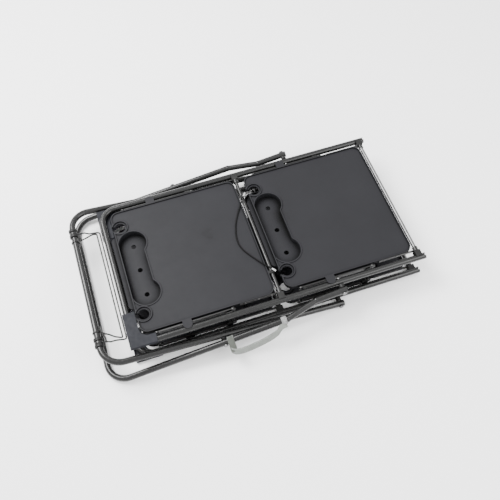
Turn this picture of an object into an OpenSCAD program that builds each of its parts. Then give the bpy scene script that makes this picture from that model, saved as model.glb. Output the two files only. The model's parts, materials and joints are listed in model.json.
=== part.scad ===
// Folding camp serving stand, shown folded flat for carrying.
// +X runs towards the top of the standing stand, +Z is up off the floor it lies on, and the
// origin is at the middle of the outline, on that floor.  All sizes are in millimetres.

/* [Tubes] */
// Outside diameter of the frame and leg tubes
tube_d = 18; // [17:0.5:19]
// Wall thickness of the tubes
tube_wall = 1.5; // [1.2:0.1:1.8]

/* [Panel frames] */
// Height of the folded stand from the floor to the upper tray rims
folded_h = 109; // [108:0.5:114]
// Distance between the two side tubes of a panel frame, on centre
panel_w = 444; // [442:0.5:446]
// Length of a panel frame from the closed end's centre line to the open ends
panel_len = 849; // [845:1:860]
// Bend radius of the panel frame corners, on centre
panel_bend_r = 45; // [40:1:50]

/* [Legs] */
// Distance between the side tubes of the inner leg, on centre
inner_leg_w = 500; // [499:0.5:501]
// Distance between the side tubes of the outer leg below its step, on centre
outer_leg_w = 544; // [543:0.5:545]
// Bend radius of the leg corners, on centre
leg_bend_r = 55; // [50:1:60]
// How far the closed ends of the legs reach past the closed ends of the panel frames
leg_overreach = 90; // [88:1:93]
// Distance along X from the legs' closed ends to their upper pivots
leg_run = 677; // [673:1:681]
// Diameter of the pivot pins
pivot_d = 8; // [7:0.5:9]

/* [Trays] */
// Length of a tray along X
tray_len = 382; // [380:0.5:383]
// Width of a tray along Y
tray_w = 400; // [398:0.5:400]
// Radius of the tray corners in plan
tray_r = 24; // [20:1:28]
// Height of the tray rim and skirt
tray_skirt_h = 12; // [11:0.5:12]
// Distance from the deck down to the underside of the cup recess
well_h = 21; // [18:1:22]
// Radius of the round ends of the cup recess
well_r = 40; // [38:0.5:41]
// Radius of the stemware slots
stem_r = 15.5; // [14:0.5:16]

/* [Stays] */
// Width of a tray stay
stay_w = 14; // [12:1:14]
// Distance from the tray hinge to the stay's pivot on the tray
stay_on_tray = 137; // [134:1:140]
// Distance from the tray hinge to the stay's catch on the frame
stay_on_frame = 150; // [147:1:153]

/* [Hidden] */
$fn = 48;

tube_r = tube_d/2;
running = 0.05;                   // radial clearance of a pin in a turning part
snug = 0.02;                      // radial clearance of a pin in its own body
eps = 1;                          // how far a cutter runs past a face

// Outline along X: from the rings on the legs' closed ends to the open tube ends
rail_ring_r = 12.5;
total_len = panel_len + leg_overreach + rail_ring_r;
panel_x1 = total_len/2;
panel_x0 = panel_x1 - panel_len;
leg_x0 = panel_x0 - leg_overreach;
pivot_x = leg_x0 + leg_run;
panel_half = panel_w/2;

// Heights of the two panel frames, and of the legs' closed ends
axis_below_rim = 12;
upper_z = folded_h - axis_below_rim;
lower_z = axis_below_rim;
inner_leg_z0 = folded_h - 22;
outer_leg_z0 = tube_r;

// The legs: tilt in the folded stand, true length, and where the two cross
inner_half = inner_leg_w/2;
outer_half = outer_leg_w/2;
inner_tilt = atan2(inner_leg_z0 - lower_z, leg_run);
outer_tilt = atan2(upper_z - outer_leg_z0, leg_run);
inner_len = norm([leg_run, inner_leg_z0 - lower_z]);
outer_len = norm([leg_run, upper_z - outer_leg_z0]);
cross_from_left = leg_run*(inner_leg_z0 - outer_leg_z0)
    /(inner_leg_z0 - outer_leg_z0 + upper_z - lower_z);
cross_x = leg_x0 + cross_from_left;
cross_z = inner_leg_z0 - cross_from_left*tan(inner_tilt);
leg_end = 11;                     // tube past the upper pivot
jog_near = 80;                    // start of the outer leg's step, from its upper pivot
jog_far = 174;                    // end of the step
knee_len = 10;                    // straight part of the swaged end beside its first knee
plug_len = 35;                    // part of the swaged end inside the leg's tube

// Trays: each is drawn about its own hinge, with -X towards its free end and its deck up
hinge_below_rim = 8;
hinge_r = 5.5;
tray_gap = 10;                    // from the hinge axis to the tray's edge
tray_pitch = 413;
top_hinge_x = panel_x1 - 19;
mid_hinge_x = top_hinge_x - tray_pitch;
tray_x1 = -tray_gap;
tray_x0 = tray_x1 - tray_len;
tray_half = tray_w/2;
tongue_x0 = tray_x0 - 13.5;       // a lower ledge beside the recess stands out past the tray's edge
tongue_half = 119;
rim_z = hinge_below_rim;
rim_t = 3;
deck_z = rim_z - 3;
deck_t = 2.5;
ledge_z = rim_z - 9;
skirt_z = rim_z - tray_skirt_h;
well_x = tray_x0 + 43;
well_y = 82;
well_waist = 27;
well_wall = 2.5;
well_z = deck_z - well_h;
well_fillet = 8;
lip_w = 3.5;
lip_z = deck_z + 1.6;
drain_r = 7;
drain_y = 80.6;
stem_x = tray_x0 + 20;
stem_y = 145;
stem_ring_r = 24;
tab_x = -266;
tab_r = 13;
tab_z = rim_z - 2.7;
rib_t = 2;

// Hinge straps on the sides of a tray, and the blocks that hold the bar
strap_t = 2;
strap_len = 115;
knuckle_r = 7.5;
knuckle_len = 12;
strap_rivet_x = [-100, -62, -24];
block_w = 18;
block_face = tray_half + strap_t + 0.3;
bar_half = panel_half - 10;

// Stays: a flat bar that turns on the tray's side and hooks on a stud of the frame
stay_t = 3;
stay_face = tray_half + 4.5;      // inner face of the stay
stay_pin_r = 3;
stay_pin_z = -4;
catch_z = -19;                    // the stud, from the hinge axis
catch_r = 2.5;
catch_slot_r = 3.3;
stay_end_r = 8.5;
catch_plate_t = 2;
catch_face = panel_half - tube_r - catch_plate_t;
// With the tray open at a right angle the stay's pivot is straight above the hinge
stay_open = [-stay_on_frame - stay_pin_z, catch_z - stay_on_tray];
stay_len = norm(stay_open);
stay_dip = atan2(-stay_open[1], -stay_open[0]);
stay_turn = 90 + stay_dip;        // turn of the stay on the tray while the tray opens by 90
stay_rate = stay_dip/90;
// The hook's end moves this way as it meets the stud, and the slot is open to that side
hook_motion = [stay_on_tray, -stay_pin_z]
    + stay_len*stay_rate*[sin(stay_dip), -cos(stay_dip)];
slot_dir = atan2(hook_motion[1], hook_motion[0]) + -stay_dip;

// Covers over the closed corners of the panel frames
cover_size = [75, 104];
cover_past = 11.8;                // how far a cover reaches past the tube's centre line
cover_t = 2.4;
cover_skirt = 9;
cover_gap = 3;
stay_room = 8;                    // the stays swing through this strip beside the tray

// Wire rail on the inner leg's closed end
wire_r = 2;
rail_y = 180;
rail_reach = [72, -27];           // from the leg tube's axis to the far wire
rail_spacing = 10;

// Carry strap on the front of the outer leg, along the leg from its upper pivot
strap_end_x = [-185, -339];
strap_out = 46.5;                 // how far the strap's outer face stands off the tube's axis
strap_thick = 3.5;
strap_high = 20;
loop_len = 18;
loop_reach = 33;

// The outline is wider on the strap's side, so the middle plane of the frames is off the origin
pin_head_t = 2.5;
mid_y = (strap_out - tube_r - pin_head_t)/2;

// Retaining cord on the upper middle tray: it leaves one ferrule and ends in the other
cord_r = 1.5;
ferrule_r = 3.2;
ferrule_len = 13;
ferrule_turn = 54;                // a ferrule's direction from +X, in plan
cord_sides = 8;
anchor_t = 1.4;
anchor_len = 21;
// The route is a list of points relative to the tray's hinge
cord_route = [
    [3, 129, 10.8], [-2, 122, 10.6], [-8, 114, 10], [-14, 105, 9.6], [-20, 96, 8.4],
    [-27, 85, 7], [-34, 73, 6.6], [-42, 58, 6.6], [-49, 42, 6.6], [-54, 26, 6.6],
    [-58, 10, 6.6], [-60, -6, 6.6], [-60, -20, 6.6], [-57, -34, 6.6], [-52, -47, 6.6],
    [-44, -61, 6.6], [-36, -74, 6.6], [-28, -86, 7], [-20, -98, 8.4], [-14, -107, 9.6],
    [-8, -115, 10], [-2, -122, 10.6], [3, -129, 10.8]];
cord_steps = 3;

// ---------------------------------------------------------------- shared shapes

module placed() translate([0, mid_y, 0]) children();

module both_sides() {
    children();
    mirror([0, 1, 0]) children();
}

// Puts a lower part where its upper twin would be, turned over
module turned_over() translate([0, 0, folded_h]) mirror([0, 0, 1]) children();

module along_y(r, y0, y1) translate([0, y0, 0]) rotate([-90, 0, 0]) cylinder(r = r, h = y1 - y0);

module along_x(r, x0, x1) translate([x0, 0, 0]) rotate([0, 90, 0]) cylinder(r = r, h = x1 - x0);

module tube_section() difference() {
    circle(tube_r);
    circle(tube_r - tube_wall);
}

// One bend of tube, starting along +X and turning left
module left_bend(bend_r, turn)
    translate([0, bend_r, 0]) rotate(-90)
        rotate_extrude(angle = turn) translate([bend_r, 0]) tube_section();

// A tube through a list of [straight length, turn to the left, bend radius]
module bent_tube(steps, i = 0) {
    run = steps[i][0];
    turn = steps[i][1];
    bend_r = steps[i][2];
    rotate([0, 90, 0]) linear_extrude(run) tube_section();
    if (i < len(steps) - 1) translate([run, 0, 0]) {
        if (turn > 0) left_bend(bend_r, turn);
        else mirror([0, 1, 0]) left_bend(bend_r, -turn);
        translate([bend_r*sin(abs(turn)), sign(turn)*bend_r*(1 - cos(turn)), 0])
            rotate(turn) bent_tube(steps, i + 1);
    }
}

// ---------------------------------------------------------------- panel frames

// A U of tube, closed at -X, with open ends at +X
module panel_tube() {
    side = panel_len - panel_bend_r;
    steps = [[side, -90, panel_bend_r], [panel_w - 2*panel_bend_r, -90, panel_bend_r], [side, 0, 0]];
    difference() {
        translate([panel_x1, -panel_half, upper_z]) rotate(180) bent_tube(steps);
        translate([pivot_x, 0, upper_z]) both_sides()
            along_y(pivot_d/2 + snug, panel_half - tube_r - eps, panel_half + tube_r + eps);
        // Two shallow notches across each open end
        both_sides() translate([panel_x1, panel_half, upper_z])
            cube([6, 5, 2*tube_d], center = true);
    }
}

// Skirted plates at the closed corners of a frame, cut away round the tray's corner: one lies
// over the front corner of the tube and one under the back corner
module corner_cover(z) {
    x0 = panel_x0 - cover_past;
    y1 = panel_half + cover_past;
    difference() {
        translate([x0, y1 - cover_size[1], z - cover_skirt])
            cube([cover_size[0], cover_size[1], cover_skirt + cover_t]);
        translate([x0 + cover_t, y1 - cover_size[1] - eps, z - cover_skirt - eps])
            cube([cover_size[0], cover_size[1] - cover_t + eps, cover_skirt + eps]);
        translate([mid_hinge_x, 0, 0]) slab(z - eps, z + cover_t + eps)
            rounded(tray_x0 - cover_gap, 0, tray_half + stay_room, tray_r);
    }
}

module corner_covers() {
    mirror([0, 1, 0]) corner_cover(upper_z + tube_r);
    corner_cover(upper_z - tube_r - cover_t);
}

// Blocks on the side tubes that hold the ends of both hinge bars
module hinge_blocks() both_sides()
    for (x = [top_hinge_x, mid_hinge_x]) difference() {
        translate([x - block_w/2, block_face, folded_h - 20])
            cube([block_w, panel_half - block_face, 19.5]);
        translate([0, panel_half, upper_z]) along_x(tube_r + snug, x - block_w, x + block_w);
        translate([x, 0, folded_h - hinge_below_rim]) along_y(hinge_r + snug, 0, bar_half + snug);
    }

module hinge_bar(x) translate([x, 0, folded_h - hinge_below_rim]) along_y(hinge_r, -bar_half, bar_half);

// Pins that join a frame's side tubes to the ends of a leg
module pivot_pins() both_sides() translate([pivot_x, 0, upper_z]) {
    along_y(pivot_d/2, panel_half - tube_r - pin_head_t, inner_half + tube_r + pin_head_t);
    along_y(pivot_d/2 + 2.5, inner_half + tube_r + 0.3, inner_half + tube_r + pin_head_t);
}

module pivot_spacers() both_sides() translate([pivot_x, 0, upper_z]) difference() {
    along_y(pivot_d/2 + 3.5, panel_half + tube_r + 0.3, inner_half - tube_r - 0.3);
    along_y(pivot_d/2 + running, panel_half, inner_half);
}

// Plates on the side tubes, each with the stud that a stay hooks on
module stay_catches() both_sides()
    for (x = [top_hinge_x, mid_hinge_x]) {
        stud = [x - stay_on_frame, folded_h - hinge_below_rim + catch_z];
        translate([stud[0] - 8, catch_face, stud[1] - 5])
            cube([16, catch_plate_t, upper_z - stud[1] + 8]);
        translate([stud[0], 0, stud[1]]) along_y(catch_r, stay_face - 1, catch_face + 0.5);
    }

// Plastic sleeves in the open tube ends, which take a hanger or lamp post
module socket_liners() both_sides() translate([0, panel_half, upper_z]) difference() {
    along_x(tube_r - tube_wall - snug, panel_x1 - 58, panel_x1 - 8);
    along_x(6, panel_x1 - 60, panel_x1);
}

// ---------------------------------------------------------------- legs

module at_inner_leg() translate([pivot_x, 0, lower_z]) rotate([0, inner_tilt, 0]) children();

module at_outer_leg() translate([pivot_x, 0, upper_z]) rotate([0, -outer_tilt, 0]) children();

// Holes through both side tubes of a leg, at a distance along X from its upper pivot
module leg_holes(x, half, r) translate([x, 0, 0]) both_sides()
    along_y(r, half - tube_r - eps, half + tube_r + eps);

module inner_leg_tube() color("#2b2b2e") placed() at_inner_leg() {
    side = inner_len - leg_bend_r;
    steps = [[side + leg_end, -90, leg_bend_r], [inner_leg_w - 2*leg_bend_r, -90, leg_bend_r],
        [side + leg_end, 0, 0]];
    difference() {
        translate([leg_end, -inner_half, 0]) rotate(180) bent_tube(steps);
        leg_holes(0, inner_half, pivot_d/2 + running);
        leg_holes(-norm([pivot_x - cross_x, cross_z - lower_z]), inner_half, pivot_d/2 + snug);
    }
}

module outer_leg_tube() color("#2b2b2e") placed() at_outer_leg() {
    side = outer_len - leg_bend_r - jog_far - knee_len;
    steps = [[side, -90, leg_bend_r], [outer_leg_w - 2*leg_bend_r, -90, leg_bend_r], [side, 0, 0]];
    difference() {
        translate([-jog_far - knee_len, -outer_half, 0]) rotate(180) bent_tube(steps);
        leg_holes(-norm([pivot_x - cross_x, upper_z - cross_z]), outer_half, pivot_d/2 + running);
    }
}

module knee() rotate([0, 90, 0]) sphere(tube_r + 0.3);

// Swaged ends plugged into the outer leg: each steps in to the width of the inner leg, with
// slightly swollen knees, and carries the hole for the upper pivot
module outer_leg_ends() color("#2b2b2e") placed() at_outer_leg() difference() {
    both_sides() {
        translate([0, outer_half, 0]) {
            along_x(tube_r - tube_wall - snug, -jog_far - knee_len - plug_len, -jog_far);
            along_x(tube_r, -jog_far - knee_len, -jog_far);
        }
        translate([-jog_far, outer_half, 0]) {
            knee();
            rotate(atan2(inner_half - outer_half, jog_far - jog_near))
                along_x(tube_r - 0.5, 0, norm([jog_far - jog_near, outer_half - inner_half]));
        }
        translate([-jog_near, inner_half, 0]) {
            knee();
            along_x(tube_r, 0, jog_near + leg_end);
        }
    }
    leg_holes(0, inner_half, pivot_d/2 + running);
}

module crossing_pins() color("silver") placed() translate([cross_x, 0, cross_z]) both_sides() {
    along_y(pivot_d/2, inner_half - tube_r - pin_head_t, outer_half + tube_r + pin_head_t);
    along_y(pivot_d/2 + 2.5, outer_half + tube_r + 0.3, outer_half + tube_r + pin_head_t);
}

module crossing_washers() color("#1b1b1c") placed() translate([cross_x, 0, cross_z]) both_sides()
    difference() {
        along_y(pivot_d/2 + 3.5, inner_half + tube_r + 0.3, outer_half - tube_r - 0.3);
        along_y(pivot_d/2 + running, inner_half, outer_half);
    }

// Collars on each side of the wire rail's rings
module rail_collars() color("#18181a") placed() translate([leg_x0, 0, inner_leg_z0]) both_sides()
    for (y = [rail_y - 13, rail_y + 5.3]) difference() {
        along_y(rail_ring_r, y, y + 7.7);
        along_y(tube_r + snug, y - eps, y + 7.7 + eps);
    }

// Two long wires on two bent arms, turning on the inner leg's closed end
module spreader_rail() color("#18181a") placed() translate([leg_x0, 0, inner_leg_z0]) {
    slope = atan2(-rail_reach[1], rail_reach[0]);
    reach = norm(rail_reach);
    rotate([0, slope, 0]) {
        both_sides() {
            difference() {
                union() {
                    along_y(rail_ring_r - 0.5, rail_y - 5, rail_y + 5);
                    translate([0, rail_y, 0]) along_x(wire_r, tube_r + 1.5, reach);
                }
                along_y(tube_r + running, rail_y - 5 - eps, rail_y + 5 + eps);
            }
            // Hooks that clip over the other leg's closed end
            translate([tube_r + 12, rail_y, 0]) cylinder(r = wire_r, h = 14);
            translate([tube_r + 12, rail_y - 16, 12]) along_y(wire_r, 0, 16);
        }
        for (x = [reach, reach - rail_spacing]) translate([x, 0, 0]) along_y(wire_r, -rail_y, rail_y);
    }
}

// ---------------------------------------------------------------- carry strap

function bezier(p, t) = p[0]*(1 - t)^3 + p[1]*3*t*(1 - t)^2 + p[2]*3*t^2*(1 - t) + p[3]*t^3;

module carry_strap() color("#8d918c") placed() at_outer_leg() {
    first = [strap_end_x[1], loop_reach + 7.6];
    last = [strap_end_x[0], 20];
    curve = [first, first + [40, 16], last + [-70, 18], last];
    inner_face = [for (i = [0:20]) bezier(curve, i/20)];
    outer_face = [for (i = [20:-1:0]) bezier(curve, i/20) + [0, strap_thick]];
    scale_out = (strap_out - strap_thick)/max([for (p = inner_face) p[1]]);
    translate([0, -outer_half, -strap_high/2]) mirror([0, 1, 0]) linear_extrude(strap_high)
        scale([1, scale_out, 1]) polygon(concat(inner_face, outer_face));
}

// Flattened loops of the strap's ends around the leg tube
module strap_end_loops() color("#7b7f79") placed() at_outer_leg()
    for (i = [0, 1]) {
        reach = i == 0 ? 12 : loop_reach;
        big = tube_r + 2.8;
        small = 5;
        lean = asin((big - small)/reach);
        // The sides are kept just inside the round ends, so that they cross them cleanly
        side = [for (r = [big - 0.4, small - 0.4]) r*[sin(lean), cos(lean)]];
        translate([strap_end_x[i] - loop_len/2, -outer_half, 0])
            rotate([90, 0, 90]) mirror([1, 0, 0]) linear_extrude(loop_len) difference() {
                union() {
                    circle(big);
                    translate([reach, 0]) circle(small);
                    polygon([side[0], side[1] + [reach, 0], [side[1][0] + reach, -side[1][1]],
                        [side[0][0], -side[0][1]]]);
                }
                circle(tube_r + 0.3);
            }
    }

// ---------------------------------------------------------------- trays

module rounded(x0, x1, half, r) {
    translate([x0 + r, -half]) square([x1 - x0 - 2*r, 2*half]);
    translate([x0, r - half]) square([x1 - x0, 2*(half - r)]);
    for (x = [x0 + r, x1 - r]) for (s = [-1, 1]) translate([x, s*(half - r)]) circle(r);
}

module tray_outline(inset)
    rounded(tray_x0 + inset, tray_x1 - inset, tray_half - inset, tray_r - inset);

module ledge_outline(inset) difference() {
    rounded(tongue_x0 + inset, tray_x0 + 30, tongue_half - inset, 12 - inset);
    translate([tray_x0 + 1.5, -tongue_half - eps]) square([60, 2*tongue_half + 2*eps]);
}

// Two round cup places joined by a narrower middle, straight on the side of the tray's edge
module well_outline(grow) translate([well_x, 0]) {
    for (s = [-1, 1]) translate([0, s*well_y]) circle(well_r + grow);
    translate([-well_r - grow, -well_y]) square([well_r + well_waist + 2*grow, 2*well_y]);
    for (s = [-1, 1]) well_corner(s, well_r + grow, well_waist + grow, well_fillet - grow);
}

// Rounds the corner where the middle's side meets a round end
module well_corner(s, r, waist, fillet) {
    c = [waist + fillet, sqrt((r + fillet)^2 - (waist + fillet)^2)];
    touch = c*r/(r + fillet);
    difference() {
        polygon([[waist - 0.5, s*(well_y - c[1])], [c[0], s*(well_y - c[1])],
            [touch[0], s*(well_y - touch[1])], [waist - 0.5, s*(well_y - touch[1])]]);
        translate([c[0], s*(well_y - c[1])]) circle(fillet);
    }
}

module slab(z0, z1) translate([0, 0, z0]) linear_extrude(z1 - z0) children();

module tray_ribs() {
    far = well_x + well_r + 8;
    for (y = [-130, -65, 0, 65, 130]) translate([far, y - rib_t/2, skirt_z + 1])
        cube([tray_x1 - 1 - far, rib_t, deck_z - deck_t - skirt_z]);
    for (x = [-90, -180, -270]) translate([x - rib_t/2, 1 - tray_half, skirt_z + 1])
        cube([rib_t, tray_w - 2, deck_z - deck_t - skirt_z]);
}

module tray_panel() difference() {
    union() {
        slab(skirt_z, rim_z) difference() {
            tray_outline(0);
            tray_outline(rim_t);
        }
        slab(deck_z - deck_t, deck_z) tray_outline(1);
        slab(skirt_z, ledge_z) difference() {
            ledge_outline(0);
            ledge_outline(rim_t);
        }
        slab(ledge_z - deck_t, ledge_z) ledge_outline(1);
        slab(well_z, lip_z) well_outline(well_wall);
        slab(deck_z - 1, lip_z) well_outline(lip_w);
        for (s = [-1, 1]) translate([stem_x, s*stem_y])
            slab(deck_z - deck_t - 4, rim_z) circle(stem_ring_r);
        tray_ribs();
        // Side tabs that lie on the frame's tubes, and lugs for the stays' pivots
        both_sides() {
            translate([tab_x, tray_half + tab_r - 1]) slab(tab_z, rim_z) {
                circle(tab_r);
                translate([-tab_r, -tab_r - 1]) square([2*tab_r, tab_r + 1]);
            }
            translate([-stay_on_tray - 9, tray_half - 4, stay_pin_z - 7]) cube([18, 4, 13]);
        }
    }
    slab(well_z + well_wall, rim_z + eps) well_outline(0);
    for (y = [-drain_y, 0, drain_y]) translate([well_x, y]) slab(well_z - eps, 0) circle(drain_r);
    for (s = [-1, 1]) translate([stem_x, s*stem_y]) {
        slab(well_z, rim_z + eps) circle(stem_r);
        slab(deck_z - 1, rim_z + eps) circle(stem_ring_r - 3);
        translate([-stem_ring_r - eps, -8]) slab(well_z, rim_z + eps) square([stem_ring_r, 16]);
    }
    both_sides() translate([-stay_on_tray, 0, stay_pin_z])
        along_y(stay_pin_r + snug, tray_half - 4 - eps, tray_half + eps);
    both_sides() for (x = strap_rivet_x) translate([x, 0, 1.5])
        along_y(1.6 + snug, tray_half - rim_t - eps, tray_half + eps);
}

// Side plates riveted to the tray, each with a sleeve that turns on the hinge bar
module tray_straps() both_sides() difference() {
    union() {
        translate([-strap_len, tray_half, skirt_z + 0.5]) cube([strap_len, strap_t, 10]);
        along_y(knuckle_r, tray_half + strap_t - knuckle_len, tray_half + strap_t);
    }
    along_y(hinge_r + running, tray_half - knuckle_len, tray_half + strap_t + eps);
    for (x = strap_rivet_x) translate([x, 0, 1.5])
        along_y(1.6 + snug, tray_half - eps, tray_half + strap_t + eps);
    // The plate stays clear of the tray's rounded end
    translate([-knuckle_r - 2, tray_half - knuckle_len - eps, -knuckle_r - eps])
        cube([2, knuckle_len + eps, 2*knuckle_r + 2*eps]);
}

// Rivets of the side plates, and the rivets and washers that the stays turn on
module tray_rivets() both_sides() {
    for (x = strap_rivet_x) translate([x, 0, 1.5]) {
        along_y(1.6, tray_half - rim_t, tray_half + strap_t + 0.5);
        along_y(3, tray_half + strap_t, tray_half + strap_t + 1.2);
    }
    translate([-stay_on_tray, 0, stay_pin_z]) {
        along_y(stay_pin_r, tray_half - 4, stay_face + stay_t + 1.5);
        along_y(5, tray_half, stay_face - 0.1);
        along_y(5, stay_face + stay_t + 0.1, stay_face + stay_t + 1.6);
    }
}

module tray_stays() both_sides() translate([-stay_on_tray, stay_face + stay_t, stay_pin_z])
    rotate([90, 0, 0]) linear_extrude(stay_t) difference() {
        union() {
            circle(stay_w/2 + 1);
            translate([-stay_len, -stay_w/2]) square([stay_len, stay_w]);
            translate([-stay_len, 0]) circle(stay_end_r);
        }
        circle(stay_pin_r + running);
        translate([-stay_len, 0]) {
            circle(catch_slot_r);
            rotate(slot_dir) translate([0, 0.2 - catch_slot_r]) square([16, 2*catch_slot_r - 0.4]);
        }
    }

module at_upper(x) translate([x, 0, folded_h - hinge_below_rim]) children();

module at_lower(x) turned_over() at_upper(x) children();

module tray_color() color("#46464b") placed() children();

module steel_color() color("silver") placed() children();

module black_color() color("#232325") placed() children();

// ---------------------------------------------------------------- retaining cord

// Tongues on the tray that reach over the hinge bar and carry the ferrules
module cord_anchors() both_sides()
    translate([tray_x1, cord_route[0][1] + 1, cord_route[0][2] - ferrule_r - anchor_t])
        cube([anchor_len, 9, anchor_t]);

module cord_ferrules() both_sides() translate(cord_route[0]) rotate(ferrule_turn)
    along_x(ferrule_r, 0, ferrule_len);

function smooth_point(p, i, t) =
    let (a = p[max(i - 1, 0)], b = p[i], c = p[i + 1], d = p[min(i + 2, len(p) - 1)])
    0.5*(2*b + (c - a)*t + (2*a - 5*b + 4*c - d)*t^2 + (3*b - a - 3*c + d)*t^3);

module cord_tube(route, r, sides, steps) {
    path = concat([for (i = [0:len(route) - 2]) for (k = [0:steps - 1])
        smooth_point(route, i, k/steps)], [route[len(route) - 1]]);
    n = len(path);
    rings = [for (i = [0:n - 1])
        let (dir = path[min(i + 1, n - 1)] - path[max(i - 1, 0)],
             u = cross(dir, [0, 0, 1])/norm(cross(dir, [0, 0, 1])),
             v = cross(u, dir)/norm(dir))
        for (k = [0:sides - 1]) path[i] + r*(cos(360*k/sides)*u + sin(360*k/sides)*v)];
    faces = concat(
        [[for (k = [sides - 1:-1:0]) k]],
        [for (i = [0:n - 2]) for (k = [0:sides - 1])
            [i*sides + k, i*sides + (k + 1)%sides, (i + 1)*sides + (k + 1)%sides, (i + 1)*sides + k]],
        [[for (k = [0:sides - 1]) (n - 1)*sides + k]]);
    polyhedron(rings, faces);
}

// ---------------------------------------------------------------- nodes

module lower_frame_tube() black_color() turned_over() panel_tube();
module lower_corner_covers() color("#5a6070") placed() turned_over() corner_covers();
module lower_hinge_blocks() black_color() turned_over() hinge_blocks();
module lower_top_hinge_bar() steel_color() turned_over() hinge_bar(top_hinge_x);
module lower_mid_hinge_bar() steel_color() turned_over() hinge_bar(mid_hinge_x);
module lower_pivot_pins() steel_color() turned_over() pivot_pins();
module lower_pivot_spacers() black_color() turned_over() pivot_spacers();
module lower_stay_catches() black_color() turned_over() stay_catches();
module lower_socket_liners() black_color() turned_over() socket_liners();
module upper_frame_tube() black_color() panel_tube();
module upper_corner_covers() color("#5a6070") placed() corner_covers();
module upper_hinge_blocks() black_color() hinge_blocks();
module upper_top_hinge_bar() steel_color() hinge_bar(top_hinge_x);
module upper_mid_hinge_bar() steel_color() hinge_bar(mid_hinge_x);
module upper_pivot_pins() steel_color() pivot_pins();
module upper_pivot_spacers() black_color() pivot_spacers();
module upper_stay_catches() black_color() stay_catches();
module upper_socket_liners() black_color() socket_liners();
module upper_top_tray() tray_color() at_upper(top_hinge_x) tray_panel();
module upper_top_tray_straps() black_color() at_upper(top_hinge_x) tray_straps();
module upper_top_tray_rivets() steel_color() at_upper(top_hinge_x) tray_rivets();
module upper_top_tray_stays() black_color() at_upper(top_hinge_x) tray_stays();
module upper_mid_tray() tray_color() at_upper(mid_hinge_x) tray_panel();
module upper_mid_tray_straps() black_color() at_upper(mid_hinge_x) tray_straps();
module upper_mid_tray_rivets() steel_color() at_upper(mid_hinge_x) tray_rivets();
module upper_mid_tray_stays() black_color() at_upper(mid_hinge_x) tray_stays();
module lower_top_tray() tray_color() at_lower(top_hinge_x) tray_panel();
module lower_top_tray_straps() black_color() at_lower(top_hinge_x) tray_straps();
module lower_top_tray_rivets() steel_color() at_lower(top_hinge_x) tray_rivets();
module lower_top_tray_stays() black_color() at_lower(top_hinge_x) tray_stays();
module lower_mid_tray() tray_color() at_lower(mid_hinge_x) tray_panel();
module lower_mid_tray_straps() black_color() at_lower(mid_hinge_x) tray_straps();
module lower_mid_tray_rivets() steel_color() at_lower(mid_hinge_x) tray_rivets();
module lower_mid_tray_stays() black_color() at_lower(mid_hinge_x) tray_stays();
module tray_cord_anchors() tray_color() at_upper(mid_hinge_x) cord_anchors();
module tray_cord_ferrules() steel_color() at_upper(mid_hinge_x) cord_ferrules();
module retaining_cord() color("#0f0f10") placed() at_upper(mid_hinge_x)
    cord_tube(cord_route, cord_r, cord_sides, cord_steps);

lower_frame_tube();
lower_corner_covers();
lower_hinge_blocks();
lower_top_hinge_bar();
lower_mid_hinge_bar();
lower_pivot_pins();
lower_pivot_spacers();
lower_stay_catches();
lower_socket_liners();
upper_frame_tube();
upper_corner_covers();
upper_hinge_blocks();
upper_top_hinge_bar();
upper_mid_hinge_bar();
upper_pivot_pins();
upper_pivot_spacers();
upper_stay_catches();
upper_socket_liners();
inner_leg_tube();
crossing_pins();
crossing_washers();
rail_collars();
outer_leg_tube();
outer_leg_ends();
carry_strap();
strap_end_loops();
upper_top_tray();
upper_top_tray_straps();
upper_top_tray_rivets();
upper_top_tray_stays();
upper_mid_tray();
upper_mid_tray_straps();
upper_mid_tray_rivets();
upper_mid_tray_stays();
lower_top_tray();
lower_top_tray_straps();
lower_top_tray_rivets();
lower_top_tray_stays();
lower_mid_tray();
lower_mid_tray_straps();
lower_mid_tray_rivets();
lower_mid_tray_stays();
spreader_rail();
tray_cord_anchors();  // cord_anchors
tray_cord_ferrules();  // cord_ferrules
retaining_cord();
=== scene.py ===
import json
import math

import bmesh
import bpy
from mathutils import Matrix, Vector
from mathutils.noise import noise


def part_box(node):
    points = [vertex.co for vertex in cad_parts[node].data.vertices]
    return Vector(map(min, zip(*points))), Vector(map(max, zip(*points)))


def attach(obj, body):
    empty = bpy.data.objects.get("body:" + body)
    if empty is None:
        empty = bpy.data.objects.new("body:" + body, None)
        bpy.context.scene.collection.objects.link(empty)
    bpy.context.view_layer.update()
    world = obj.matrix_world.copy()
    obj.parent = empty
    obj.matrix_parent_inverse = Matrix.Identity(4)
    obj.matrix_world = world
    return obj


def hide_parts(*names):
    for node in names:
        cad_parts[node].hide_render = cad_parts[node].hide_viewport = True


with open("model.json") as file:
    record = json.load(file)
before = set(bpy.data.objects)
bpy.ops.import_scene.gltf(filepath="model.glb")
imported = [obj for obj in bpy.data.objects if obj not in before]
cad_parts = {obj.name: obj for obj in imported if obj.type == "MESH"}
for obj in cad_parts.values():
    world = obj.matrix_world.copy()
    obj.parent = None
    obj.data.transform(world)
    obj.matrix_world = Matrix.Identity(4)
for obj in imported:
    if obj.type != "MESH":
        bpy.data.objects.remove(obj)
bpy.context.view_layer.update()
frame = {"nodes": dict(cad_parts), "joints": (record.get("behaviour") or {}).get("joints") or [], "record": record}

MM = 0.001
NODES = frame["nodes"]
JOINTS = {joint["name"]: joint for joint in frame["joints"]}
X, Y, Z = Vector((1, 0, 0)), Vector((0, 1, 0)), Vector((0, 0, 1))


def joint_place(name):
    return Vector(JOINTS[name]["pos_m"])


# ---------------------------------------------------------------- camera

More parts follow.
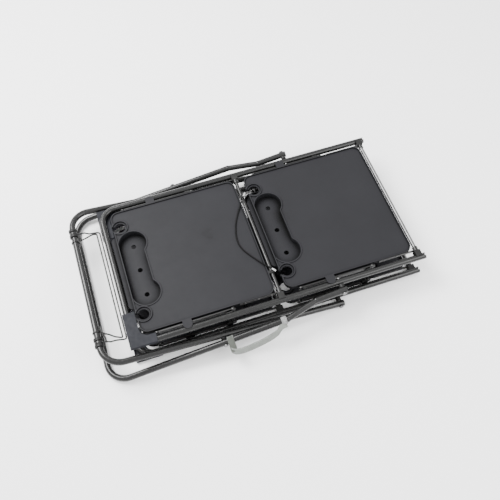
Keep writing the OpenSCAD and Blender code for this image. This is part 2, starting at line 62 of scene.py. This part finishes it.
def make_camera():
    """Stands in front of the folded stand's left half and looks steeply down at it."""
    yaw, pitch, roll = (math.radians(a) for a in (17.33, 60.11, -1.38))
    ahead = Vector((math.sin(yaw) * math.cos(pitch), math.cos(yaw) * math.cos(pitch), -math.sin(pitch)))
    right = Vector((math.cos(yaw), -math.sin(yaw), 0))
    up = right.cross(ahead)
    right, up = (math.cos(roll) * right + math.sin(roll) * up,
                 math.cos(roll) * up - math.sin(roll) * right)
    data = bpy.data.cameras.new("camera")
    data.lens = 46.31
    data.sensor_width = 36
    camera = bpy.data.objects.new("camera", data)
    camera.matrix_world = Matrix.Translation((-0.2648, -0.9054, 1.6993)) @ Matrix(
        (right, up, -ahead)).transposed().to_4x4()
    bpy.context.scene.collection.objects.link(camera)
    bpy.context.scene.camera = camera


make_camera()


# ---------------------------------------------------------------- mesh helpers

def finish_mesh(name, bm, body, look, smooth_angle=40):
    """Turns a bmesh into a piece that rides on a body."""
    bmesh.ops.recalc_face_normals(bm, faces=bm.faces)
    limit = math.radians(smooth_angle)
    for face in bm.faces:
        face.smooth = True
    for edge in bm.edges:
        edge.smooth = len(edge.link_faces) == 2 and edge.calc_face_angle(0) < limit
    mesh = bpy.data.meshes.new(name)
    bm.to_mesh(mesh)
    bm.free()
    piece = bpy.data.objects.new(name, mesh)
    bpy.context.scene.collection.objects.link(piece)
    piece.data.materials.append(look)
    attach(piece, body)
    return piece


def spline(points, steps):
    """Catmull-Rom curve through the points."""
    path = []
    last = len(points) - 1
    for i in range(last):
        a, b, c, d = (points[max(i - 1, 0)], points[i], points[i + 1], points[min(i + 2, last)])
        for k in range(steps):
            t = k / steps
            path.append(0.5 * (2*b + (c - a)*t + (2*a - 5*b + 4*c - d)*t**2 + (3*b - a - 3*c + d)*t**3))
    path.append(points[last])
    return path


def rounded_path(corners, bend, steps=6):
    """A polyline whose corners are rounded to a bend radius."""
    path = [corners[0]]
    for before, corner, after in zip(corners, corners[1:], corners[2:]):
        into, out = (corner - before).normalized(), (after - corner).normalized()
        turn = into.angle(out)
        if turn < 0.02:
            path.append(corner)
            continue
        reach = min(bend * math.tan(turn / 2), (corner - before).length * 0.49,
                    (after - corner).length * 0.49)
        start, end = corner - into * reach, corner + out * reach
        for k in range(steps + 1):
            t = k / steps
            path.append(start * (1 - t)**2 + corner * 2 * t * (1 - t) + end * t**2)
    path.append(corners[-1])
    return path


def circle_section(radius, sides):
    return [(radius * math.cos(2 * math.pi * k / sides), radius * math.sin(2 * math.pi * k / sides))
            for k in range(sides)]


def band_section(width, thick):
    """A flat band's cross-section with rounded edges."""
    half, r = width / 2, thick / 2
    edge = [(half - r + r * math.cos(a), r * math.sin(a))
            for a in (math.radians(d) for d in (-90, -45, 0, 45, 90))]
    return edge + [(-x, -y) for x, y in edge]


def sweep(bm, path, section, wide=None, closed=False):
    """Sweeps a section along a path. wide is the fixed direction of the section's first axis."""
    count = len(path)
    side = wide
    rings = []
    along = 0
    uv = bm.loops.layers.uv.verify()
    marks = []
    for i, point in enumerate(path):
        before = path[i - 1] if i or closed else point
        after = path[(i + 1) % count] if i < count - 1 or closed else point
        tangent = (after - before).normalized()
        if side is None:
            side = tangent.cross(Z if abs(tangent.z) < 0.9 else X).normalized()
        if wide is None:
            side = (side - tangent * side.dot(tangent)).normalized()
        normal = tangent.cross(side).normalized()
        rings.append([bm.verts.new(point + side * u + normal * v) for u, v in section])
        along += (point - path[i - 1]).length if i else 0
        marks.append(along)
    marks.append(along)
    sides = len(section)
    for i in range(count if closed else count - 1):
        a, b = rings[i], rings[(i + 1) % count]
        for k in range(sides):
            m = (k + 1) % sides
            face = bm.faces.new((a[k], a[m], b[m], b[k]))
            ends = (marks[i], marks[i], marks[i + 1], marks[i + 1])
            for loop, u, v in zip(face.loops, ends, (k, k + 1, k + 1, k)):
                loop[uv].uv = (u, v / sides)
    if not closed:
        bm.faces.new(reversed(rings[0]))
        bm.faces.new(rings[-1])


def turned(bm, base, axis, profile, sides=20):
    """Turns a profile of (distance along the axis, radius) about the axis from base."""
    axis = axis.normalized()
    side = axis.cross(Z if abs(axis.z) < 0.9 else X).normalized()
    other = axis.cross(side)
    rings = []
    for distance, radius in profile:
        centre = base + axis * distance
        if radius < 1e-7:
            rings.append([bm.verts.new(centre)])
            continue
        rings.append([bm.verts.new(centre + radius * (math.cos(2 * math.pi * k / sides) * side
                                                      + math.sin(2 * math.pi * k / sides) * other))
                      for k in range(sides)])
    for a, b in zip(rings, rings[1:]):
        for k in range(sides):
            m = (k + 1) % sides
            if len(a) == 1:
                bm.faces.new((a[0], b[m], b[k]))
            elif len(b) == 1:
                bm.faces.new((a[k], a[m], b[0]))
            else:
                bm.faces.new((a[k], a[m], b[m], b[k]))
    for ring, flip in ((rings[0], True), (rings[-1], False)):
        if len(ring) > 1:
            bm.faces.new(list(reversed(ring)) if flip else ring)


# ---------------------------------------------------------------- materials

class Look:
    """A procedural material on one Principled shader."""

    def __init__(self, name, roughness, metallic=0.0, **sockets):
        self.material = bpy.data.materials.new(name)
        self.material.use_nodes = True
        self.tree = self.material.node_tree
        self.shader = self.tree.nodes["Principled BSDF"]
        self.set("Roughness", roughness)
        self.set("Metallic", metallic)
        for socket, value in sockets.items():
            self.set(socket.replace("_", " "), value)
        self.place = self.node("ShaderNodeTexCoord").outputs["Object"]

    def set(self, socket, value):
        self.shader.inputs[socket].default_value = value

    def node(self, kind, **settings):
        made = self.tree.nodes.new(kind)
        for key, value in settings.items():
            setattr(made, key, value)
        return made

    def link(self, output, node, socket):
        self.tree.links.new(output, node.inputs[socket])

    def noise(self, scale, detail=3, rough=0.55, stretch=(1, 1, 1)):
        mapped = self.node("ShaderNodeMapping")
        mapped.inputs["Scale"].default_value = stretch
        self.link(self.place, mapped, "Vector")
        made = self.node("ShaderNodeTexNoise")
        made.inputs["Scale"].default_value = scale
        made.inputs["Detail"].default_value = detail
        made.inputs["Roughness"].default_value = rough
        self.link(mapped.outputs[0], made, "Vector")
        return made.outputs["Fac"]

    def spread(self, value, low, high, start=0.3, end=0.7):
        """Maps the range start to end of a value onto low to high."""
        made = self.node("ShaderNodeMapRange")
        ranges = {"From Min": start, "From Max": end, "To Min": low, "To Max": high}
        for socket, number in ranges.items():
            made.inputs[socket].default_value = number
        self.link(value, made, "Value")
        return made.outputs["Result"]

    def math(self, how, a, b):
        made = self.node("ShaderNodeMath", operation=how)
        for index, value in enumerate((a, b)):
            if isinstance(value, (int, float)):
                made.inputs[index].default_value = value
            else:
                self.tree.links.new(value, made.inputs[index])
        return made.outputs[0]

    def colour(self, value, stops):
        """Base colour from a ramp of (position, colour) over a value."""
        made = self.node("ShaderNodeValToRGB")
        points = made.color_ramp.elements
        while len(points) < len(stops):
            points.new(0.5)
        for point, (place, colour) in zip(points, stops):
            point.position = place
            point.color = (*colour, 1)
        self.link(value, made, "Fac")
        self.link(made.outputs["Color"], self.shader, "Base Color")

    def bump(self, height, strength, distance):
        made = self.node("ShaderNodeBump")
        made.inputs["Strength"].default_value = strength
        made.inputs["Distance"].default_value = distance
        self.link(height, made, "Height")
        before = self.shader.inputs["Normal"]
        if before.is_linked:
            self.tree.links.new(before.links[0].from_socket, made.inputs["Normal"])
        self.link(made.outputs["Normal"], self.shader, "Normal")


def grey(level, tint=(1, 1, 1)):
    return tuple(level * t for t in tint)


def tray_plastic():
    """Moulded plastic with a fine spark texture, faintly cloudy, and painted shade in its hollows, where ambient
    occlusion darkens the colour and the specular.
    """
    look = Look("tray_plastic", 0.5, Specular_IOR_Level=0.18)
    # Painted shade: an ambient occlusion node darkens the base colour in hollows and recesses
    shade = look.node("ShaderNodeAmbientOcclusion", samples=8)
    shade.inputs["Distance"].default_value = 0.035
    open_sky = shade.outputs["AO"]
    cloud_and_painted_shade = look.math("MULTIPLY", look.noise(9, 4), look.spread(open_sky, 0.35, 1, 0.55, 0.95))
    look.colour(cloud_and_painted_shade, [(0.15, grey(0.003)), (0.33, grey(0.0092, (1, 1, 1.17))),
                        (0.7, grey(0.0108, (1, 1, 1.17)))])
    # Painted shade on the reflection: the specular level drops where ambient occlusion is low
    look.link(look.spread(open_sky, 0.03, 0.14, 0.5, 0.95), look.shader, "Specular IOR Level")
    look.link(look.spread(look.noise(60, 5), 0.54, 0.6), look.shader, "Roughness")
    look.bump(look.noise(2600, 2), 0.35, 0.00012)
    return look.material


def black_plastic():
    look = Look("black_plastic", 0.5, Specular_IOR_Level=0.2)
    look.colour(look.noise(50, 3), [(0.35, grey(0.006)), (0.65, grey(0.01))])
    look.link(look.spread(look.noise(140, 3), 0.42, 0.58), look.shader, "Roughness")
    look.bump(look.noise(2200, 2), 0.3, 0.0001)
    return look.material


def black_paint(name, level, roughness, rub):
    """Powder coat: fine orange peel, small changes of gloss, and dull grey rub marks."""
    look = Look(name, roughness, Specular_IOR_Level=0.3, Coat_Weight=0.08, Coat_Roughness=0.25)
    marks = look.noise(70, 6, 0.7, stretch=(0.25, 1, 1))
    look.colour(marks, [(0.35, grey(level)), (0.62, grey(level * 1.5)), (0.75, grey(level + rub))])
    gloss = look.spread(look.noise(120, 4), roughness - 0.06, roughness + 0.1)
    look.link(gloss, look.shader, "Roughness")
    look.bump(look.noise(900, 3), 0.22, 0.00015)
    return look.material


def slate_paint():
    look = Look("slate_paint", 0.48, Specular_IOR_Level=0.12)
    look.colour(look.noise(30, 4), [(0.35, (0.0065, 0.007, 0.0098)), (0.65, (0.009, 0.0096, 0.013))])
    look.link(look.spread(look.noise(90, 4), 0.42, 0.58), look.shader, "Roughness")
    look.bump(look.noise(1200, 3), 0.25, 0.00012)
    return look.material


def drawn_steel(name, level, roughness, stretch):
    """Drawn or rolled metal, with fine lines along its length and small stains."""
    look = Look(name, roughness, metallic=1.0)
    lines = look.noise(1500, 2, stretch=stretch)
    look.colour(look.noise(45, 4), [(0.3, grey(level * 0.78)), (0.7, grey(level, (1, 1, 1.01)))])
    look.link(look.spread(lines, roughness - 0.08, roughness + 0.12), look.shader, "Roughness")
    look.bump(lines, 0.25, 0.00006)
    return look.material


def cord_sheath():
    """Braided sheath: crossed ridges that run round the cord."""
    look = Look("cord_sheath", 0.8, Specular_IOR_Level=0.1)
    coords = look.node("ShaderNodeTexCoord").outputs["UV"]
    parts = look.node("ShaderNodeSeparateXYZ")
    look.link(coords, parts, "Vector")
    along = look.math("MULTIPLY", parts.outputs["X"], 2 * math.pi / 0.0024)
    around = look.math("MULTIPLY", parts.outputs["Y"], 2 * math.pi * 4)
    one = look.math("SINE", look.math("ADD", along, around), 0)
    two = look.math("SINE", look.math("SUBTRACT", along, around), 0)
    braid = look.math("MAXIMUM", one, two)
    # Painted shade: the braid's grooves are coloured darker than its ridges
    look.colour(look.spread(braid, 0, 1, -1, 1), [(0.1, grey(0.002)), (0.9, grey(0.006))])
    look.bump(braid, 0.8, 0.0002)
    return look.material


def webbing(name, base, lift):
    """Woven webbing: ribs along its length, crossed by a finer weft."""
    look = Look(name, 0.85, Sheen_Weight=0.35, Sheen_Roughness=0.45)
    parts = look.node("ShaderNodeSeparateXYZ")
    look.link(look.node("ShaderNodeTexCoord").outputs["UV"], parts, "Vector")
    warp = look.math("SINE", look.math("MULTIPLY", parts.outputs["Y"], 2 * math.pi * 26), 0)
    weft = look.math("SINE", look.math("MULTIPLY", parts.outputs["X"], 2 * math.pi / 0.0012), 0)
    weave = look.math("MULTIPLY", warp, weft)
    # Partly painted shade: the weave's hollows are coloured darker than its ribs; the noise adds random blotchy
    # tone
    weave_shade_and_dirt = look.math("ADD", look.math("MULTIPLY", weave, 0.12), look.noise(60, 5))
    look.colour(weave_shade_and_dirt, [(0.3, base), (0.75, tuple(c * lift for c in base))])
    look.bump(weave, 0.7, 0.0002)
    look.bump(look.noise(3000, 2), 0.3, 0.0001)
    return look.material


def film_wrap():
    """Milky crinkled film."""
    look = Look("film_wrap", 0.3, Coat_Weight=0.15, Coat_Roughness=0.15)
    look.colour(look.noise(260, 5), [(0.3, grey(0.08, (0.97, 1, 0.97))), (0.7, grey(0.24))])
    look.bump(look.noise(420, 4), 0.6, 0.0008)
    return look.material


def thread():
    look = Look("thread", 0.8, Sheen_Weight=0.3)
    look.colour(look.noise(900, 2), [(0.3, grey(0.3, (0.96, 1, 0.97))),
                                     (0.7, grey(0.42, (0.97, 1, 0.97)))])
    look.bump(look.noise(4000, 2), 0.4, 0.0001)
    return look.material


LOOKS = {
    "tray_plastic": tray_plastic(),
    "black_plastic": black_plastic(),
    "black_tube": black_paint("black_tube", 0.005, 0.24, 0.01),
    "black_steel": black_paint("black_steel", 0.005, 0.34, 0.015),
    "black_wire": black_paint("black_wire", 0.003, 0.3, 0.006),
    "slate_plate": slate_paint(),
    "steel": drawn_steel("drawn_steel", 0.16, 0.36, (1, 0.03, 1)),
    "ferrule_metal": drawn_steel("ferrule_metal", 0.6, 0.25, (0.05, 1, 1)),
    "strap_web": webbing("strap_web", (0.13, 0.14, 0.128), 1.35),
    "strap_loop": webbing("strap_loop", (0.04, 0.044, 0.037), 1.4),
    "film_wrap": film_wrap(),
    "cord_sheath": cord_sheath(),
}
THREAD = thread()


WELD_GAP = 0.01 * MM
FLAT_WITHIN = math.radians(3)     # faces this close to one plane are joined before edges are rounded
EDGE_R = 0.7 * MM
SHARP_FROM = math.radians(40)


def dress_cad_nodes():
    """Gives each carried-over node its material, and rounds the edges of trays and corner plates."""
    slots = {row["node"]: row["material_slot"] for row in frame["record"]["subparts"]}
    for name, node in NODES.items():
        node.data.materials.clear()
        node.data.materials.append(LOOKS[slots[name]])
        if slots[name] in ("tray_plastic", "slate_plate"):
            weld = node.modifiers.new("weld", "WELD")
            weld.merge_threshold = WELD_GAP
            flats = node.modifiers.new("flats", "DECIMATE")
            flats.decimate_type = "DISSOLVE"
            flats.angle_limit = FLAT_WITHIN
            rounded = node.modifiers.new("rounded", "BEVEL")
            rounded.width = EDGE_R
            rounded.segments = 2
            rounded.limit_method = "ANGLE"
            rounded.angle_limit = SHARP_FROM


dress_cad_nodes()


# ---------------------------------------------------------------- retaining cord

CORD_D = 3 * MM
# The route relative to the upper middle tray's hinge, in millimetres, as the CAD has it
CORD_ROUTE = [
    (3, 129, 10.8), (-2, 122, 10.6), (-8, 114, 10), (-14, 105, 9.6), (-20, 96, 8.4),
    (-27, 85, 7), (-34, 73, 6.6), (-42, 58, 6.6), (-49, 42, 6.6), (-54, 26, 6.6),
    (-58, 10, 6.6), (-60, -6, 6.6), (-60, -20, 6.6), (-57, -34, 6.6), (-52, -47, 6.6),
    (-44, -61, 6.6), (-36, -74, 6.6), (-28, -86, 7), (-20, -98, 8.4), (-14, -107, 9.6),
    (-8, -115, 10), (-2, -122, 10.6), (3, -129, 10.8)]


def retaining_cord():
    hinge = joint_place("upper_mid_tray_hinge")
    path = spline([hinge + Vector(point) * MM for point in CORD_ROUTE], 5)
    bm = bmesh.new()
    sweep(bm, path, circle_section(CORD_D / 2, 14))
    cord = finish_mesh("cord", bm, "upper_mid_tray", LOOKS["cord_sheath"], 80)
    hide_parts("retaining_cord")


retaining_cord()


# ---------------------------------------------------------------- carry strap

TUBE_R = 9 * MM
STRAP_W = 20 * MM
STRAP_T = 2.6 * MM
LOOP_X = -339 * MM                # the wide loop, from the upper pivot along the leg
CLIP_X = -185 * MM                # the narrow end
GATHER_X = -232 * MM              # the band starts to narrow here
GATHER_LEN = 30 * MM
STITCH_END = -236 * MM
BAND_LEAN = math.radians(35)
LOOP_W = 18 * MM
LOOP_OUT = 31 * MM                # how far the wide loop stands out from the tube


def outer_leg_place():
    """The outer leg's own axes: +X along it towards its upper pivot, -Y out on the strap's side."""
    pivot, crossing = joint_place("upper_pivot"), joint_place("leg_crossing")
    along = (pivot - crossing).normalized()
    low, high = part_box("outer_leg_tube")
    half = (high[1] - low[1]) / 2 - TUBE_R
    origin = pivot - Y * half
    return Matrix((along, Y, along.cross(Y))).transposed().to_4x4(), origin


LEG_AXES, LEG_SIDE = outer_leg_place()


def on_leg(x, out, up=0.0):
    """A point beside the outer leg's front tube: along the leg, out from its axis, and up."""
    return LEG_SIDE + LEG_AXES.to_3x3() @ Vector((x, -out, up))


def strap_line():
    """The middle of the hand strap's thickness, from the wide loop to the narrow end."""
    rough = [(-345, 30), (-337, 36), (-322, 39.5), (-300, 40), (-275, 38.5), (-245, 35), (-222, 30),
             (-211, 26), (-204, 20.5), (-195, 15.5), (-180, 13.2)]
    return spline([on_leg(x * MM, out * MM) for x, out in rough], 6)


def carry_strap():
    along, up = LEG_AXES.to_3x3() @ X, LEG_AXES.to_3x3() @ Z
    # The band leans out at its lower edge, so its face shows from above
    lean = math.cos(BAND_LEAN) * up + math.sin(BAND_LEAN) * (LEG_AXES.to_3x3() @ Y)
    line = strap_line()
    bm = bmesh.new()
    # The band is full width in the hand and gathered where it turns in to the narrow end
    section = band_section(STRAP_W, STRAP_T)
    sweep(bm, line, section, wide=lean)
    for vert in bm.verts:
        place = LEG_AXES.to_3x3().transposed() @ (vert.co - LEG_SIDE)
        gather = min(max((place.x - GATHER_X) / GATHER_LEN, 0), 1)
        narrow = 1 - 0.42 * gather * gather * (3 - 2 * gather)
        curl = 1.2 * MM * gather * math.sin(place.z / STRAP_W * 3 * math.pi)
        place.z *= narrow
        place.y -= curl
        vert.co = LEG_SIDE + LEG_AXES.to_3x3() @ place
    finish_mesh("strap_band", bm, "outer_legs", LOOKS["strap_web"], 70)

    bm = bmesh.new()
    stitch = circle_section(0.35 * MM, 6)
    pitch, length = 4.4 * MM, 3.1 * MM
    for edge in (-0.4, 0.4):
        for face in (-1, 1):
            walked = 0
            for a, b in zip(line, line[1:]):
                walked += (b - a).length
                place = LEG_AXES.to_3x3().transposed() @ (a - LEG_SIDE)
                if walked < pitch or place.x > STITCH_END:
                    continue
                walked = 0
                tangent = (b - a).normalized()
                normal = tangent.cross(lean).normalized() * face
                start = a + lean * edge * STRAP_W + normal * (STRAP_T / 2 + 0.05 * MM)
                middle = start + tangent * length / 2 + normal * 0.25 * MM
                sweep(bm, [start, middle, start + tangent * length], stitch)
    finish_mesh("strap_stitching", bm, "outer_legs", THREAD, 80)

    # The wide loop: webbing round the tube, drawn out to a rounded end
    bm = bmesh.new()
    big, small = TUBE_R + 1.7 * MM, 4.2 * MM
    slant = math.asin((big - small) / LOOP_OUT)
    turns = [slant - math.pi / 2 + k / 14 * (math.pi - 2 * slant) for k in range(15)]
    outer_end = [(LOOP_OUT + small * math.cos(a), small * math.sin(a)) for a in turns]
    back = [(big * math.cos(a), big * math.sin(a)) for a in
            (math.pi / 2 - slant + k / 20 * (math.pi + 2 * slant) for k in range(21))]
    ring = [on_leg(LOOP_X, out, rise) for out, rise in outer_end + back]
    sweep(bm, ring, band_section(LOOP_W, 2.4 * MM), wide=along, closed=True)
    loop = finish_mesh("strap_wide_loop", bm, "outer_legs", LOOKS["strap_loop"], 70)
    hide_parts("strap_end_loops", "carry_strap")

    bm = bmesh.new()
    for edge in (-0.42, 0.42):
        offset = along * edge * LOOP_W
        for k in range(0, len(ring), 2):
            a, b = ring[k], ring[(k + 1) % len(ring)]
            outward = (a - on_leg(LOOP_X, LOOP_OUT * 0.4)).normalized()
            sweep(bm, [a + offset + outward * 1.25 * MM, (a + b) / 2 + offset + outward * 1.5 * MM,
                       b + offset + outward * 1.25 * MM], stitch)
    finish_mesh("strap_loop_stitching", bm, "outer_legs", THREAD, 80)

    # A crinkled film wrap keeps the narrow end from sliding along the tube
    x, width = CLIP_X + 1 * MM, 15 * MM
    bm = bmesh.new()
    reach = 12 * MM
    wrap = []
    for k in range(40):
        a = 2 * math.pi * k / 40
        bulge = max(math.cos(a), 0)**3 * (reach - TUBE_R - 1.6 * MM)
        r = TUBE_R + 1.6 * MM + bulge + 0.35 * MM * math.sin(9 * a)
        wrap.append(on_leg(x, r * math.cos(a), r * math.sin(a)))
    columns = 10
    strip = [(-width / 2 + width * i / columns, 0.5 * MM) for i in range(columns + 1)]
    section = strip + [(u, -v) for u, v in reversed(strip)]
    sweep(bm, wrap, section, wide=along, closed=True)
    for vert in bm.verts:
        vert.co += (LEG_AXES.to_3x3() @ Y) * noise(vert.co * 260) * 1.1 * MM
        vert.co += up * noise(vert.co * 310 + X) * 1.0 * MM
    finish_mesh("strap_wrap", bm, "outer_legs", LOOKS["film_wrap"], 50)


carry_strap()


# ---------------------------------------------------------------- wire rail

WIRE_R = 2.2 * MM
RAIL_HALF = 180 * MM
INNER_RING = 31 * MM              # how far the narrow ring is from the wide one
RING_R = 10.2 * MM
RING_T = 2 * MM


def wire_rail():
    """Two long wires with wavy arms, turning in two rings on the inner leg's closed end."""
    bar = joint_place("rail_swing")
    slope = math.atan2(27, 72)
    out = Vector((math.cos(slope), 0, -math.sin(slope)))
    up = Vector((math.sin(slope), 0, math.cos(slope)))
    reach, spacing = 76.9 * MM, 10 * MM

    def at(x, y, z=0.0):
        return bar + out * x + Y * y + up * z

    bm = bmesh.new()
    section = circle_section(WIRE_R, 12)
    arm = [(10, 0, 0), (20, 0.5, 2.4), (32, -1.5, 1.2), (46, 1.5, -1), (62, 0.5, 0.3)]
    left = [at(x * MM, dy * MM - RAIL_HALF, z * MM) for x, dy, z in arm]
    right = [at(x * MM, RAIL_HALF - dy * MM, z * MM) for x, dy, z in reversed(arm)]
    corners = [at(reach, -RAIL_HALF), at(reach, RAIL_HALF)]
    sweep(bm, rounded_path(left + corners + right, 9 * MM), section)

    # The second wire runs beside the first; its arms end in prongs beside a narrower ring each
    hook = [(14, 46, 2), (14, 31, 2.6), (18, 25, 3.4), (31, 20, 3.6), (46, 11, 2.6), (58, 7, 2.8)]
    left = [at(x * MM, dy * MM - RAIL_HALF, z * MM) for x, dy, z in hook]
    right = [at(x * MM, RAIL_HALF - dy * MM, z * MM) for x, dy, z in reversed(hook)]
    ends = [at(reach - spacing, s * (RAIL_HALF - 6 * MM), 1 * MM) for s in (-1, 1)]
    sweep(bm, rounded_path(left + ends + right, 6 * MM), section)

    # Short prongs with round ends, welded to the outer arms, and the rings on the leg's bar
    for s in (-1, 1):
        prong = [at(x * MM, s * (RAIL_HALF - dy * MM), z * MM)
                 for x, dy, z in ((21, 0, 2), (20, 9, 4), (17, 20, 4))]
        sweep(bm, rounded_path(prong, 4 * MM), section)
        sweep(bm, [at(9.5 * MM, s * (RAIL_HALF - INNER_RING), 1 * MM),
                   at(14 * MM, s * (RAIL_HALF - INNER_RING), 2.6 * MM)], section)
        for end in (prong[-1], at(14 * MM, s * (RAIL_HALF - 46 * MM), 2 * MM)):
            bmesh.ops.create_uvsphere(bm, u_segments=14, v_segments=8, radius=3 * MM,
                                      matrix=Matrix.Translation(end))
        for inset, width in ((0, 8 * MM), (INNER_RING, 4.6 * MM)):
            ring = [bar + Y * s * (RAIL_HALF - inset) + RING_R * (math.cos(a) * X + math.sin(a) * Z)
                    for a in (2 * math.pi * k / 36 for k in range(36))]
            sweep(bm, ring, band_section(width, RING_T), wide=Y, closed=True)
    rail = finish_mesh("rail_wires", bm, "spreader_rail", LOOKS["black_wire"], 50)
    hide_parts("spreader_rail")


wire_rail()


# ---------------------------------------------------------------- rivets

TRAY_HALF = 200 * MM


def domed(bm, base, axis, radius, height, shank_r, shank):
    """A rivet: shank, flat flange and a low domed head."""
    angles = [math.radians(d) for d in range(0, 91, 15)]
    dome = [(height * math.sin(a), radius * math.cos(a)) for a in angles]
    dome[-1] = (height, 0)
    turned(bm, base, axis, [(-shank, shank_r), (-0.3 * MM, shank_r), (-0.3 * MM, radius)] + dome)


def tray_rivets(tray, up):
    hinge = joint_place(tray + "_hinge")
    bm = bmesh.new()
    for s in (-1, 1):
        for x in (-100, -62, -24):
            base = hinge + Vector((x * MM, s * (TRAY_HALF + 2.4 * MM), 1.5 * MM * up))
            domed(bm, base, Y * s, 3.3 * MM, 1.3 * MM, 1.6 * MM, 5 * MM)
        pivot = hinge + Vector((-137 * MM, s * TRAY_HALF, -4 * MM * up))
        domed(bm, pivot + Y * s * 7.6 * MM, Y * s, 5 * MM, 1.9 * MM, 3 * MM, 11 * MM)
        turned(bm, pivot, Y * s, [(0.1 * MM, 4.6 * MM), (0.4 * MM, 5 * MM),
                                  (4 * MM, 5 * MM), (4.3 * MM, 4.6 * MM)])
    rivets = finish_mesh(tray + "_rivet_heads", bm, tray, LOOKS["steel"], 35)
    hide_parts(tray + "_rivets")


for panel, facing in (("upper", 1), ("lower", -1)):
    for row in ("top", "mid"):
        tray_rivets(f"{panel}_{row}_tray", facing)


# ---------------------------------------------------------------- floor and light

def make_stage():
    bm = bmesh.new()
    bmesh.ops.create_grid(bm, x_segments=1, y_segments=1, size=8)
    mesh = bpy.data.meshes.new("floor")
    bm.to_mesh(mesh)
    bm.free()
    floor = bpy.data.objects.new("floor", mesh)
    bpy.context.scene.collection.objects.link(floor)
    paper = bpy.data.materials.new("paper")
    paper.use_nodes = True
    shader = paper.node_tree.nodes["Principled BSDF"]
    shader.inputs["Base Color"].default_value = (0.95, 0.95, 0.953, 1)
    shader.inputs["Roughness"].default_value = 0.9
    floor.data.materials.append(paper)
    floor.location.z = -0.0005


def area_light(name, place, target, size, power):
    data = bpy.data.lights.new(name, "AREA")
    data.shape = "SQUARE"
    data.size = size
    data.energy = power
    light = bpy.data.objects.new(name, data)
    light.location = place
    light.rotation_euler = (Vector(target) - Vector(place)).to_track_quat("-Z", "Y").to_euler()
    bpy.context.scene.collection.objects.link(light)


def make_light():
    world = bpy.data.worlds.new("studio")
    world.use_nodes = True
    sky = world.node_tree.nodes["Background"]
    sky.inputs["Color"].default_value = (1, 1, 1, 1)
    sky.inputs["Strength"].default_value = 2.1
    bpy.context.scene.world = world
    area_light("key", (-1.2, 1.2, 2.4), (0, 0, 0), 1.4, 190)
    area_light("fill", (1.8, -1.6, 2.2), (0, 0, 0), 2.0, 80)


make_stage()
make_light()
